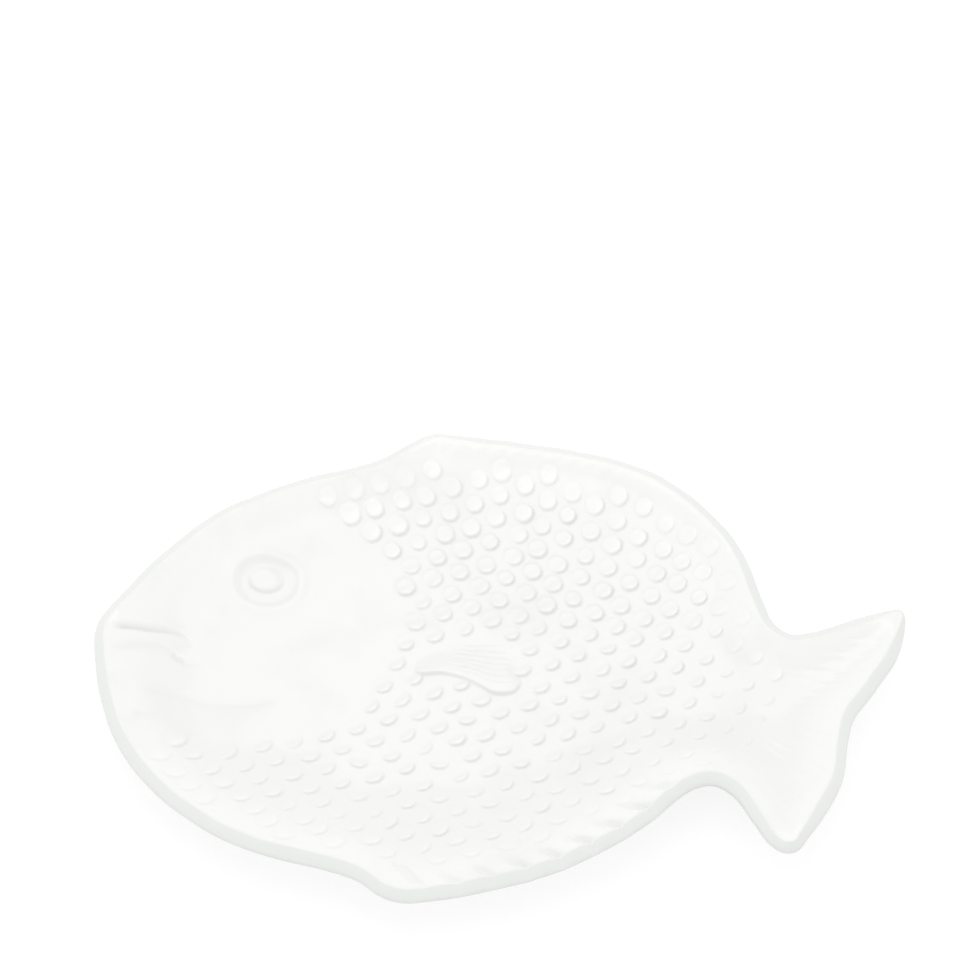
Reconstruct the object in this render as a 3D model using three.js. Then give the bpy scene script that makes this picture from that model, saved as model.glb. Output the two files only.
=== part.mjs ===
// A serving plate in the shape of a sea bream: one piece of white glazed stoneware.
// The upper face is a shallow dish with scales, an eye, a mouth and fin rays moulded into it.
// A thick lip with a crest and a slanted outer face runs all round, and an oval foot ring carries the plate.
// Millimetres, +Z up. The fish looks towards -X and its back lies towards +Y.

import * as THREE from 'three';
import { ConvexHull } from 'three/addons/math/ConvexHull.js';

// Body outline in plan, measured from the tip of the lips along the body axis
const BODY_LENGTH = 245; // lips to the root of the tail
const BACK_HEIGHT = 86; // body axis to the back at the nape
const BELLY_DEPTH = 92; // body axis to the belly
const DORSAL_FIN_HEIGHT = 14.5; // front of the dorsal fin above the nape
const ANAL_FIN_HEIGHT = 8.7; // front tip of the anal fin below the belly
const TAIL_LENGTH = 55; // root of the tail to the tip of its upper lobe
const TAIL_RISE = 41.5; // body axis to the tip of the upper lobe
const TAIL_DROP = 64.5; // body axis to the tip of the lower lobe

// Dish, wall and lip
const WALL = 6.5; // thickness of the fired clay with its glaze
const RIM_RISE = 13.5; // floor of the dish to the rim
const RIM_ANGLE = 30; // slope of the dish at the rim, degrees
const LIP_FALL = 36; // slope of the lip's outer face, degrees
const LIP_CREST = 1.4; // radius on the crest of the lip
const LIP_UNDER = 1.8; // radius on the lower edge of the lip
const RIM_STEPS = 216; // points round the lip

// Foot ring
const FOOT_LENGTH = 150; // outer size along the body
const FOOT_WIDTH = 94; // outer size across the body
const FOOT_FROM_LIPS = 122; // centre of the foot
const FOOT_BAND = 6; // width of the bearing face
const FOOT_HEIGHT = 3.5; // bearing face to the underside of the floor
const FOOT_DRAFT = 1.5; // slope of the foot's sides, in plan
const FOOT_STEPS = 56; // points round the foot

// Scales, in rows that fall towards the tail and staggered columns that bow
const COLUMN_PITCH = 9.17; // between columns, along the body
const ROW_PITCH = 9.6; // between scales of one column
const SCALE_HEIGHT = 1.4; // crown of a scale above the dish
const SCALE_LENGTH = 7; // size of a scale along the body
const SCALE_WIDTH = 7.4; // size of a scale across the body
const BOW_RADIUS = 260; // radius that the columns follow
const BOW_HEIGHT = 86.8; // height above the body axis where the columns stand upright
const FIRST_COLUMN = 4.5; // lips to the foremost column, where it stands upright
const FIRST_ROW = 1.8; // body axis to the row above it, at the lips
const ROW_FALL = 0.038; // fall of the rows towards the tail, per length
const SCALE_MARGIN = 9.3; // outline to the centres of the outermost scales, where there is no fin
const FIN_CLEARANCE = 3; // ends of the fin rays to the centres of the scales beside them

// Head, with the smooth cheek that the scales stop at
const CHEEK_FROM_LIPS = 44.5;
const CHEEK_ABOVE_AXIS = 15.2;
const CHEEK_LENGTH = 131.5;
const CHEEK_HEIGHT = 115.6;
const EYE_FROM_LIPS = 58.8;
const EYE_ABOVE_AXIS = 29.6;
const EYE_LENGTH = 25.5;
const EYE_HEIGHT = 21.5;
const EYE_TILT = 6; // degrees, corner up towards the back
const EYE_RING_RELIEF = 1.1;
const PUPIL_LENGTH = 13;
const PUPIL_HEIGHT = 10.2;
const PUPIL_RELIEF = 1.4;
const MOUTH_FROM_LIPS = 8; // front end of the groove between the lips
const MOUTH_LENGTH = 26.5;
const MOUTH_ARCH = 4.6; // rise of the groove from its front end to its crest
const MOUTH_DEPTH = 1.8;
const LIP_BAND = 8.5; // height of the lower lip
const LIP_RELIEF = 0.9; // roll of both lips above the cheek
const JAW_FROM_LIPS = 19; // front end of the jaw crease
const JAW_BELOW_AXIS = 24.8;
const JAW_LENGTH = 54;
const JAW_WIDTH = 6;
const JAW_DEPTH = 0.7;

// Pectoral fin behind the cheek
const PECTORAL_FROM_LIPS = 121;
const PECTORAL_ABOVE_AXIS = 2.5;
const PECTORAL_LENGTH = 39;
const PECTORAL_ROOT = 8; // width at the root
const PECTORAL_SPREAD = 25; // width at the rear edge
const PECTORAL_TILT = 5; // degrees
const PECTORAL_RELIEF = 2; // lower edge above the dish
const PECTORAL_STEP = 1; // run of the step round the fin, in plan
const PECTORAL_RAYS = 7;

// Rays of the dorsal, anal and tail fins
const DORSAL_BAND = 8.9; // length of a dorsal ray, from the outline inwards
const ANAL_BAND = 12; // length of an anal ray, from the outline inwards
const FIN_LEAN = 0.9; // lean of those rays towards the tail, per length
const DORSAL_RAYS = 15;
const ANAL_RAYS = 16;
const TAIL_RAYS = 13;
const TAIL_ROOT_BOW = 9; // bulge of the line where the tail's rays start
const RAY_RELIEF = 0.7;
const RAY_END = 1.2; // lip to the ends of the rays

// Points of the skin
const FACE_STEP = 8.5; // spacing on the plain stretches of the upper face
const UNDERSIDE_STEP = 14; // spacing on the plain stretches of the underside
const RELIEF_GAP = 1; // least spacing in the relief
const EDGE_GAP = 0.4; // least spacing at the sharp edges of the eye and the pectoral fin
const FENCE_STEPS = 600; // points of the outline that distances are taken from

// Landmarks of the outline as shares of the sizes above, clockwise from the upper lip
const onBack = (along, up) => [along * BODY_LENGTH, up * BACK_HEIGHT];
const onDorsal = (along, up) => [along * BODY_LENGTH, BACK_HEIGHT + up * DORSAL_FIN_HEIGHT];
const onUpperTail = (along, up) => [BODY_LENGTH + along * TAIL_LENGTH, up * TAIL_RISE];
const onLowerTail = (along, down) => [BODY_LENGTH + along * TAIL_LENGTH, -down * TAIL_DROP];
const onAnal = (along, down) => [along * BODY_LENGTH, -BELLY_DEPTH - down * ANAL_FIN_HEIGHT];
const onBelly = (along, down) => [along * BODY_LENGTH, -down * BELLY_DEPTH];

const forehead = [[0, 0], onBack(0.024, 0.14), onBack(0.083, 0.41), onBack(0.155, 0.64), onBack(0.26, 0.83),
  onBack(0.385, 0.99)];
const dorsalFin = [onDorsal(0.425, 0.5), onDorsal(0.465, 0.97), onDorsal(0.5, 0.97), onDorsal(0.63, 0.93),
  onDorsal(0.76, 0.7), onDorsal(0.83, 0.3)];
const rearBack = [onBack(0.895, 0.93), onBack(0.965, 0.71), onBack(1.003, 0.47)];
const upperWaist = [onUpperTail(0.1, 0.74), onUpperTail(0.22, 0.64), onUpperTail(0.34, 0.66)];
const upperLobe = [onUpperTail(0.66, 0.86), onUpperTail(0.89, 0.99), onUpperTail(0.98, 0.97),
  onUpperTail(0.995, 0.8)];
const fork = [onUpperTail(0.955, 0.5), onUpperTail(0.83, 0.15), onLowerTail(0.7, 0.1),
  onLowerTail(0.665, 0.26), onLowerTail(0.655, 0.47)];
const lowerLobe = [onLowerTail(0.59, 0.66), onLowerTail(0.46, 0.88), onLowerTail(0.385, 0.98),
  onLowerTail(0.3, 1), onLowerTail(0.2, 0.96)];
const lowerWaist = [onLowerTail(0.08, 0.84), onLowerTail(-0.06, 0.69), onLowerTail(-0.2, 0.63),
  onLowerTail(-0.33, 0.67)];
const analFin = [onBelly(0.855, 0.67), onBelly(0.75, 0.88), onAnal(0.64, 0.12), onAnal(0.56, 0.82),
  onAnal(0.52, 1), onAnal(0.49, 0.82), onAnal(0.455, 0.25)];
const belly = [onBelly(0.4, 0.99), onBelly(0.33, 0.965), onBelly(0.24, 0.9), onBelly(0.145, 0.755),
  onBelly(0.077, 0.58), onBelly(0.031, 0.36), onBelly(0.006, 0.15)];

const landmarks = [forehead, dorsalFin, rearBack, upperWaist, upperLobe, fork, lowerLobe, lowerWaist,
  analFin, belly];
const outline = new THREE.CatmullRomCurve3(
  landmarks.flat().map(([x, y]) => new THREE.Vector3(x, y, 0)), true, 'centripetal');

// Place on the outline of one landmark, as the curve's parameter
function placeOf(group, index) {
  const before = landmarks.slice(0, landmarks.indexOf(group)).flat().length;
  return (before + index) / landmarks.flat().length;
}

// Point at a place of the outline, moved inwards by a distance
function inside(place, inset) {
  const point = outline.getPoint(place);
  const along = outline.getTangent(place);
  return new THREE.Vector2(point.x + along.y * inset, point.y - along.x * inset);
}

// Lip section: from the dish's rim over the crest, down the slanted outer face and round to the underside
const slope = THREE.MathUtils.degToRad(RIM_ANGLE);
const lipFall = THREE.MathUtils.degToRad(LIP_FALL);
function bend(from, to, radius, steps) {
  return Array.from({ length: steps + 1 }, (_, step) => {
    const heading = from + (to - from) * step / steps;
    return new THREE.Vector2(
      radius * (Math.sin(from) - Math.sin(heading)), radius * (Math.cos(heading) - Math.cos(from)));
  });
}
const crestBend = bend(slope, -lipFall, Math.min(LIP_CREST, 0.25 * WALL), 2);
const underBend = bend(-lipFall, slope - Math.PI, Math.min(LIP_UNDER, 0.3 * WALL), 3);
const bothBends = new THREE.Vector2().addVectors(crestBend.at(-1), underBend.at(-1));
const bendsDepth = bothBends.x * Math.sin(slope) - bothBends.y * Math.cos(slope);
const outerFace = (WALL - bendsDepth) / Math.sin(slope + lipFall);
const underStart = crestBend.at(-1).clone();
underStart.x += outerFace * Math.cos(lipFall);
underStart.y -= outerFace * Math.sin(lipFall);
const lipPoints = [...crestBend, ...underBend.map((point) => point.add(underStart))];
const lipReach = Math.max(...lipPoints.map((point) => point.x));
const lipSection = lipPoints.map((point) => ({ inset: lipReach - point.x, height: point.y }));
const topInset = lipSection[0].inset;
const lowInset = lipSection.at(-1).inset;

// Distance from the outline, smoothed so that the dish has no crease along its middle
const fence = outline.getSpacedPoints(FENCE_STEPS).slice(1);
const fenceStep = outline.getLength() / FENCE_STEPS;
function edgeDistance(x, y) {
  let sum = 0;
  for (const post of fence) {
    const square = (post.x - x) ** 2 + (post.y - y) ** 2;
    sum += 1 / (square * square);
  }
  return Math.cbrt(Math.PI / (2 * sum * fenceStep));
}

// Heights of the dish: a flat floor that rises in a parabola to the slope of the rim
const floorHeight = FOOT_HEIGHT + WALL;
const riseWidth = 2 * RIM_RISE / Math.tan(slope);
const lowRise = RIM_RISE + WALL + lipSection.at(-1).height;
const lowRiseWidth = 2 * lowRise / Math.tan(slope);
function faceHeight(x, y) {
  const share = THREE.MathUtils.clamp(1 - (edgeDistance(x, y) - topInset) / riseWidth, 0, 1);
  return floorHeight + RIM_RISE * share * share;
}
function undersideHeight(x, y) {
  const share = THREE.MathUtils.clamp(1 - (edgeDistance(x, y) - lowInset) / lowRiseWidth, 0, 1);
  return FOOT_HEIGHT + lowRise * share * share;
}

// Rings of the lip. Where the outline turns tightly the rings close up, so that they never cross.
const rimPlaces = [];
for (let step = 0; step < RIM_STEPS; step++) {
  rimPlaces.push(outline.getUtoTmapping(step / RIM_STEPS));
}
const rimStep = outline.getLength() / RIM_STEPS;
const bends = rimPlaces.map((place, i) => {
  const before = outline.getTangent(rimPlaces.at(i - 1));
  const after = outline.getTangent(rimPlaces[(i + 1) % RIM_STEPS]);
  const turn = Math.atan2(before.y * after.x - before.x * after.y, before.dot(after));
  return Math.max(0, turn) / (2 * rimStep);
});
const closing = bends.map((bend, i) => {
  const sharpest = Math.max(...[-2, -1, 0, 1, 2].map((step) => bends.at((i + step) % RIM_STEPS)));
  return 1 / Math.hypot(1, 1.6 * sharpest * topInset);
});
const lipRings = lipSection.map(({ inset }) =>
  rimPlaces.map((place, i) => inside(place, inset * closing[i])));

// Skin seeds: points of a face that carry its relief, in order of weight
class Skin {
  constructor(loop) {
    this.loop = loop;
    this.seeds = loop.map((point) => ({ x: point.x, y: point.y, lift: 0 }));
  }

  // True when a point keeps its distance from every seed so far and from the loop's edges
  clear(x, y, gap) {
    return this.seeds.every((seed) => (seed.x - x) ** 2 + (seed.y - y) ** 2 > gap * gap)
      && this.loop.every((end, i) => segmentDistance(this.loop.at(i - 1), end, x, y) > gap);
  }

  plant(x, y, lift, gap) {
    if (contains(this.loop, x, y) && this.clear(x, y, gap)) {
      this.seeds.push({ x, y, lift });
    }
  }

  // Delaunay triangles of the seeds: the lower side of their hull on a paraboloid
  triangles() {
    const span = new THREE.Box2().setFromPoints(this.loop);
    const middle = span.getCenter(new THREE.Vector2());
    const reach = span.getSize(new THREE.Vector2()).length();
    const lifted = this.seeds.map(({ x, y }) =>
      new THREE.Vector3(x, y, ((x - middle.x) ** 2 + (y - middle.y) ** 2) / reach));
    const indexOf = new Map(lifted.map((point, i) => [point, i]));
    const found = [];
    for (const face of new ConvexHull().setFromPoints(lifted).faces) {
      if (face.normal.z < 0 && contains(this.loop, face.midpoint.x, face.midpoint.y)) {
        found.push([0, 1, 2].map((i) => indexOf.get(face.getEdge(i).head().point)));
      }
    }
    return found;
  }
}

// Distance of a point from a straight edge
function segmentDistance(start, end, x, y) {
  const [runX, runY] = [end.x - start.x, end.y - start.y];
  const share = ((x - start.x) * runX + (y - start.y) * runY) / (runX * runX + runY * runY);
  const nearest = THREE.MathUtils.clamp(share, 0, 1);
  return Math.hypot(start.x + nearest * runX - x, start.y + nearest * runY - y);
}

// True when a point lies inside a closed loop
function contains(loop, x, y) {
  let inner = false;
  loop.forEach((end, i) => {
    const start = loop.at(i - 1);
    if ((start.y > y) !== (end.y > y)) {
      const crossing = start.x + (y - start.y) * (end.x - start.x) / (end.y - start.y);
      inner = crossing > x ? !inner : inner;
    }
  });
  return inner;
}

// Ellipse point at an angle, about a centre and turned by a tilt
function onEllipse(centre, length, height, tilt, angle) {
  const x = length / 2 * Math.cos(angle);
  const y = height / 2 * Math.sin(angle);
  return [
    centre.x + x * Math.cos(tilt) - y * Math.sin(tilt),
    centre.y + x * Math.sin(tilt) + y * Math.cos(tilt),
  ];
}

const face = new Skin(lipRings[0]);

// Eye: a raised ring round a hollow with a domed pupil
function plantEye() {
  const centre = new THREE.Vector2(EYE_FROM_LIPS, EYE_ABOVE_AXIS);
  const tilt = THREE.MathUtils.degToRad(EYE_TILT);
  const ring = (length, height, lift, steps) => {
    for (let step = 0; step < steps; step++) {
      const [x, y] = onEllipse(centre, length, height, tilt, 2 * Math.PI * step / steps);
      face.plant(x, y, lift, EDGE_GAP);
    }
  };
  const roll = (EYE_HEIGHT - PUPIL_HEIGHT) / 2;
  ring(EYE_LENGTH, EYE_HEIGHT, 0, 20);
  ring(EYE_LENGTH - 0.8 * roll, EYE_HEIGHT - 0.8 * roll, EYE_RING_RELIEF, 20);
  ring(PUPIL_LENGTH + 0.5 * roll, PUPIL_HEIGHT + 0.5 * roll, 0, 16);
  ring(PUPIL_LENGTH - 0.6 * roll, PUPIL_HEIGHT - 0.6 * roll, 0.75 * PUPIL_RELIEF, 12);
  face.plant(centre.x, centre.y, PUPIL_RELIEF, EDGE_GAP);
}

// Mouth: a deep groove between two rolled lips, with a shallow groove under the lower one
function plantMouth() {
  const crest = 0.6;
  const arch = (share) => MOUTH_ARCH * (0.25 - ((share - crest) / crest) ** 2);
  const rows = [
    [0.45, 0],
    [0.25, LIP_RELIEF],
    [0, -MOUTH_DEPTH],
    [-0.3, LIP_RELIEF],
    [-0.65, LIP_RELIEF],
    [-0.95, -0.5 * MOUTH_DEPTH],
    [-1.3, 0],
  ];
  const steps = 8;
  for (let step = 0; step <= steps; step++) {
    const share = step / steps;
    const fade = Math.sqrt(1 - share ** 6);
    const x = MOUTH_FROM_LIPS + share * MOUTH_LENGTH;
    for (const [across, lift] of rows) {
      face.plant(x, across * LIP_BAND + arch(share), lift * fade, RELIEF_GAP);
    }
  }
}

// Jaw crease: a shallow groove that rises towards the cheek
function plantJaw() {
  const steps = 9;
  for (let step = 0; step <= steps; step++) {
    const share = step / steps;
    const x = JAW_FROM_LIPS + share * JAW_LENGTH;
    const y = -JAW_BELOW_AXIS + 0.15 * JAW_LENGTH * share ** 4;
    const depth = JAW_DEPTH * Math.sin(Math.PI * share);
    face.plant(x, y, -depth, RELIEF_GAP);
    face.plant(x, y + JAW_WIDTH / 2, 0, RELIEF_GAP);
    face.plant(x, y - JAW_WIDTH / 2, 0, RELIEF_GAP);
  }
}

// Pectoral fin: a fan of rays, highest along its lower edge, where it ends in a step
const pectoralTilt = THREE.MathUtils.degToRad(PECTORAL_TILT);
function pectoralHalf(along) {
  const widening = Math.max(0, along) ** 1.4;
  return (PECTORAL_ROOT + (PECTORAL_SPREAD - PECTORAL_ROOT) * widening) / 2;
}
function pectoralPoint(along, across, behind, beside) {
  const reach = along * PECTORAL_LENGTH * (1 - 0.1 * across * across) + behind;
  const side = across * pectoralHalf(along) + beside;
  const x = reach * Math.cos(pectoralTilt) - side * Math.sin(pectoralTilt);
  const y = reach * Math.sin(pectoralTilt) + side * Math.cos(pectoralTilt);
  return [PECTORAL_FROM_LIPS + x, PECTORAL_ABOVE_AXIS + y];
}
function plantPectoral() {
  const steps = 14;
  const lift = (along, across) => PECTORAL_RELIEF * (0.65 - 0.35 * across) * along ** 0.4;
  for (let step = 0; step <= steps; step++) {
    const along = step / steps;
    face.plant(...pectoralPoint(along, -1, 0, 0), lift(along, -1), EDGE_GAP);
    face.plant(...pectoralPoint(along, -1, 0, -PECTORAL_STEP), 0, EDGE_GAP);
    face.plant(...pectoralPoint(along, 1, 0, 0), lift(along, 1), EDGE_GAP);
    face.plant(...pectoralPoint(along, 1, 0, PECTORAL_STEP), 0, EDGE_GAP);
  }
  for (let row = 1; row < 2 * PECTORAL_RAYS; row++) {
    const across = row / PECTORAL_RAYS - 1;
    const ridge = row % 2 === 0 ? 0.4 * RAY_RELIEF : -0.4 * RAY_RELIEF;
    face.plant(...pectoralPoint(1, across, 0, 0), lift(1, across), EDGE_GAP);
    face.plant(...pectoralPoint(1, across, PECTORAL_STEP, 0), 0, EDGE_GAP);
    for (let step = 2; step < steps; step += 2) {
      const along = step / steps;
      face.plant(...pectoralPoint(along, across, 0, 0), lift(along, across) + ridge * along, RELIEF_GAP);
    }
  }
}

// Share of the outline's length that lies before a place
function walkedTo(place) {
  const next = rimPlaces.findIndex((other) => other > place);
  const [before, after] = [rimPlaces[next - 1], rimPlaces[next]];
  return (next - 1 + (place - before) / (after - before)) / RIM_STEPS;
}

// Dorsal and anal fins: slanted rays between the scales and the lip
function plantFin(from, to, rays, band) {
  const start = topInset + RAY_END;
  const [first, last] = [walkedTo(from), walkedTo(to)];
  for (let row = 0; row <= 2 * rays; row++) {
    const place = outline.getUtoTmapping(first + (last - first) * row / (2 * rays));
    const along = outline.getTangent(place);
    const ridge = row % 2 === 0 ? RAY_RELIEF : -0.3 * RAY_RELIEF;
    for (const share of [0, 0.5, 1]) {
      const point = inside(place, start + share * (band - start));
      const lean = share * (band - start) * FIN_LEAN * Math.sign(along.x);
      face.plant(point.x - along.x * lean, point.y - along.y * lean, ridge * (1 - 0.6 * share), RELIEF_GAP);
    }
  }
}

// Tail: a fan of rays from the bowed root to the rear edge
function tailRoot(share) {
  const upper = inside(placeOf(upperWaist, 1), topInset + RAY_END);
  const lower = inside(placeOf(lowerWaist, 2), topInset + RAY_END);
  const across = new THREE.Vector2().subVectors(lower, upper);
  const bow = TAIL_ROOT_BOW * 4 * share * (1 - share) / across.length();
  return new THREE.Vector2(
    upper.x + across.x * share - across.y * bow, upper.y + across.y * share + across.x * bow);
}
function plantTail() {
  const from = placeOf(upperLobe, 2);
  const to = placeOf(lowerLobe, 3);
  const steps = 7;
  for (let row = 0; row <= 2 * TAIL_RAYS; row++) {
    const share = row / (2 * TAIL_RAYS);
    const start = tailRoot(share);
    const end = inside(from + (to - from) * share, topInset + RAY_END);
    const ridge = row % 2 === 0 ? RAY_RELIEF : -0.3 * RAY_RELIEF;
    for (let step = 0; step <= steps; step++) {
      const run = step / steps;
      const x = start.x + (end.x - start.x) * run;
      const y = start.y + (end.y - start.y) * run;
      face.plant(x, y, ridge * Math.sin(Math.PI * (0.15 + 0.7 * run)), RELIEF_GAP);
    }
  }
}

// Scale field: everything behind the cheek and in front of the tail, clear of the lip and the fins
function finBand(x, y) {
  const { smoothstep } = THREE.MathUtils;
  const [front, peak, rear, end] = y > 0 ? [forehead[5], dorsalFin[2], dorsalFin[5], rearBack[0]]
    : [analFin[6], analFin[4], analFin[1], analFin[0]];
  const share = smoothstep(x, front[0], peak[0]) * (1 - smoothstep(x, rear[0], end[0]));
  const beside = FIN_CLEARANCE + (y > 0 ? DORSAL_BAND : ANAL_BAND);
  return SCALE_MARGIN + share * (beside - SCALE_MARGIN);
}
function carriesScale(x, y) {
  const offCheek = ((x - CHEEK_FROM_LIPS) * 2 / CHEEK_LENGTH) ** 2
    + ((y - CHEEK_ABOVE_AXIS) * 2 / CHEEK_HEIGHT) ** 2 > 1;
  const upper = tailRoot(0);
  const lower = tailRoot(1);
  const share = THREE.MathUtils.clamp((upper.y - y) / (upper.y - lower.y), 0, 1);
  const beforeTail = x < tailRoot(share).x - SCALE_LENGTH / 2;
  return offCheek && beforeTail && contains(fence, x, y) && edgeDistance(x, y) > finBand(x, y);
}

// Scales: domes with a crown near their rear edge, where they end in a step
function plantScales() {
  const span = new THREE.Box2().setFromPoints(fence);
  const bowOf = (level) => (level - BOW_HEIGHT) ** 2 / (2 * BOW_RADIUS);
  const columns = Math.ceil((span.max.x - FIRST_COLUMN + bowOf(span.min.y)) / COLUMN_PITCH);
  const lowest = Math.floor(span.min.y / ROW_PITCH);
  const highest = Math.ceil((span.max.y + ROW_FALL * span.max.x) / ROW_PITCH);
  for (let column = 0; column <= columns; column++) {
    for (let row = lowest; row <= highest; row++) {
      const level = FIRST_ROW + (row + (column % 2) / 2) * ROW_PITCH;
      const x = FIRST_COLUMN + column * COLUMN_PITCH - bowOf(level);
      const y = level - ROW_FALL * x;
      if (carriesScale(x, y) && !onPectoral(x, y)) {
        plantScale(x, y, Math.atan2(BOW_HEIGHT - level, BOW_RADIUS));
      }
    }
  }
}
function onPectoral(x, y) {
  const dx = x - PECTORAL_FROM_LIPS;
  const dy = y - PECTORAL_ABOVE_AXIS;
  const along = (dx * Math.cos(pectoralTilt) + dy * Math.sin(pectoralTilt)) / PECTORAL_LENGTH;
  const across = dy * Math.cos(pectoralTilt) - dx * Math.sin(pectoralTilt);
  const reach = 1 + (PECTORAL_STEP + SCALE_LENGTH / 2) / PECTORAL_LENGTH;
  return along > 0 && along < reach
    && Math.abs(across) < pectoralHalf(along) + PECTORAL_STEP + 0.6 * SCALE_WIDTH;
}
function plantScale(x, y, turn) {
  const at = (along, across) => [
    x + along * Math.cos(turn) + across * Math.sin(turn),
    y - along * Math.sin(turn) + across * Math.cos(turn),
  ];
  const crownSteps = 6;
  face.plant(...at(0.12 * SCALE_LENGTH, -0.04 * SCALE_WIDTH), SCALE_HEIGHT, RELIEF_GAP);
  for (let step = 0; step < crownSteps; step++) {
    const angle = 2 * Math.PI * (step + 0.5) / crownSteps;
    const rear = Math.cos(angle + Math.PI / 6);
    const along = (0.06 + 0.4 * Math.cos(angle)) * SCALE_LENGTH;
    const across = 0.4 * Math.sin(angle) * SCALE_WIDTH;
    face.plant(...at(along, across), SCALE_HEIGHT * (0.55 + 0.2 * rear), RELIEF_GAP);
  }
  const valleys = [
    [0, ROW_PITCH / 2],
    [0, -ROW_PITCH / 2],
    [COLUMN_PITCH / 2, ROW_PITCH / 4],
    [COLUMN_PITCH / 2, -ROW_PITCH / 4],
    [-COLUMN_PITCH / 2, ROW_PITCH / 4],
    [-COLUMN_PITCH / 2, -ROW_PITCH / 4],
  ];
  for (const [along, across] of valleys) {
    face.plant(...at(along, across), 0, 1.3 * RELIEF_GAP);
  }
}

// Plain stretches of a skin: a regular grid wherever no relief is near
function plantPlain(skin, step, gap) {
  const span = new THREE.Box2().setFromPoints(skin.loop);
  for (let row = 0, y = span.min.y; y < span.max.y; row++, y += step * 0.87) {
    for (let x = span.min.x + (row % 2) * step / 2; x < span.max.x; x += step) {
      skin.plant(x, y, 0, gap);
    }
  }
}

plantEye();
plantMouth();
plantJaw();
plantPectoral();
plantFin(placeOf(dorsalFin, 1), placeOf(rearBack, 1), DORSAL_RAYS, DORSAL_BAND);
plantFin(placeOf(lowerWaist, 3), placeOf(analFin, 5), ANAL_RAYS, ANAL_BAND);
plantTail();
plantScales();
plantPlain(face, FACE_STEP, 0.62 * FACE_STEP);

// Underside: the foot ring's four loops, and plain stretches between
const underside = new Skin(lipRings.at(-1));
const footCentre = new THREE.Vector2(FOOT_FROM_LIPS, 0);
const footLoops = [
  { shrink: 0, bearing: true },
  { shrink: 2 * FOOT_BAND, bearing: true },
  { shrink: -2 * FOOT_DRAFT, bearing: false },
  { shrink: 2 * FOOT_BAND + 2 * FOOT_DRAFT, bearing: false },
];
for (const { shrink, bearing } of footLoops) {
  for (let step = 0; step < FOOT_STEPS; step++) {
    const angle = 2 * Math.PI * step / FOOT_STEPS;
    const [x, y] = onEllipse(footCentre, FOOT_LENGTH - shrink, FOOT_WIDTH - shrink, 0, angle);
    underside.seeds.push({ x, y, lift: bearing ? -undersideHeight(x, y) : 0 });
  }
}
plantPlain(underside, UNDERSIDE_STEP, 0.55 * UNDERSIDE_STEP);

// One closed skin: the upper face, the strips of the lip and the underside
function buildPlate() {
  const points = [];
  const index = [];
  const add = (x, y, z) => points.push(x, y, z) / 3 - 1;
  const rimHeights = lipRings[0].map(({ x, y }) => faceHeight(x, y));
  const rings = lipRings.map((ring, k) => ring.map(({ x, y }, i) =>
    add(x, y, rimHeights[i] + lipSection[k].height)));
  const faceIds = face.seeds.map(({ x, y, lift }, i) =>
    i < RIM_STEPS ? rings[0][i] : add(x, y, faceHeight(x, y) + lift));
  const lowIds = underside.seeds.map(({ x, y, lift }, i) =>
    i < RIM_STEPS ? rings.at(-1)[i] : add(x, y, undersideHeight(x, y) + lift));
  for (const [a, b, c] of face.triangles()) {
    index.push(faceIds[a], faceIds[c], faceIds[b]);
  }
  for (const [a, b, c] of underside.triangles()) {
    index.push(lowIds[a], lowIds[b], lowIds[c]);
  }
  for (let k = 1; k < rings.length; k++) {
    for (let i = 0; i < RIM_STEPS; i++) {
      const next = (i + 1) % RIM_STEPS;
      index.push(rings[k - 1][i], rings[k - 1][next], rings[k][i]);
      index.push(rings[k - 1][next], rings[k][next], rings[k][i]);
    }
  }
  const geometry = new THREE.BufferGeometry();
  geometry.setAttribute('position', new THREE.Float32BufferAttribute(points, 3));
  geometry.setIndex(index);
  geometry.computeVertexNormals();
  return geometry;
}

const plateBody = new THREE.Mesh(
  buildPlate(),
  new THREE.MeshStandardMaterial({ color: 0xf6f6f3, roughness: 0.22, metalness: 0 }),
);
plateBody.name = 'plate_body';

// The frame's origin lies on the table, under the middle of the plate
plateBody.geometry.computeBoundingBox();
const middle = plateBody.geometry.boundingBox.getCenter(new THREE.Vector3());
plateBody.position.set(-middle.x, -middle.y, 0);

const plate = new THREE.Group();
plate.name = 'fish_plate';
plate.add(plateBody);

export default plate;
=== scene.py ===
import math

import bpy
import numpy as np
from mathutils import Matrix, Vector, geometry, kdtree


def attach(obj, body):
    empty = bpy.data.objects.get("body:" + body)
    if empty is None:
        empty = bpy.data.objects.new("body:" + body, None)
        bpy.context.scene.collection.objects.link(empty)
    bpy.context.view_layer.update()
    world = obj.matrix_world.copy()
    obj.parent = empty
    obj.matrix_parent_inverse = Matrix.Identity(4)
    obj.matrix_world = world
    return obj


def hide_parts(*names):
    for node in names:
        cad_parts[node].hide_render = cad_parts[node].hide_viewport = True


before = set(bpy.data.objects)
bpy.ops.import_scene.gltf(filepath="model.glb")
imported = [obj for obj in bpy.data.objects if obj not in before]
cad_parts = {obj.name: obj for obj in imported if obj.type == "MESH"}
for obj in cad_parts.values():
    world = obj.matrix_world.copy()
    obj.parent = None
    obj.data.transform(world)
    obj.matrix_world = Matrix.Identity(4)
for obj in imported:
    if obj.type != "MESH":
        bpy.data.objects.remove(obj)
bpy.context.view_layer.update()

# Outline of the plate
# Seen from above the plate is a sea bream: forehead, back fin, forked tail, belly fin and belly.
# This line is the trimmed edge of the clay slab. Every other form is measured from it and from the lips.
BODY_LENGTH = 0.245
BACK_HEIGHT = 0.086
BELLY_DEPTH = 0.092
DORSAL_FIN_HEIGHT = 0.0145
ANAL_FIN_HEIGHT = 0.0087
TAIL_LENGTH = 0.055
TAIL_RISE = 0.0415
TAIL_DROP = 0.0645
SPAN_STEPS = 40
EDGE_POINTS = 960


def on_back(along, up):
    return along * BODY_LENGTH, up * BACK_HEIGHT


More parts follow.
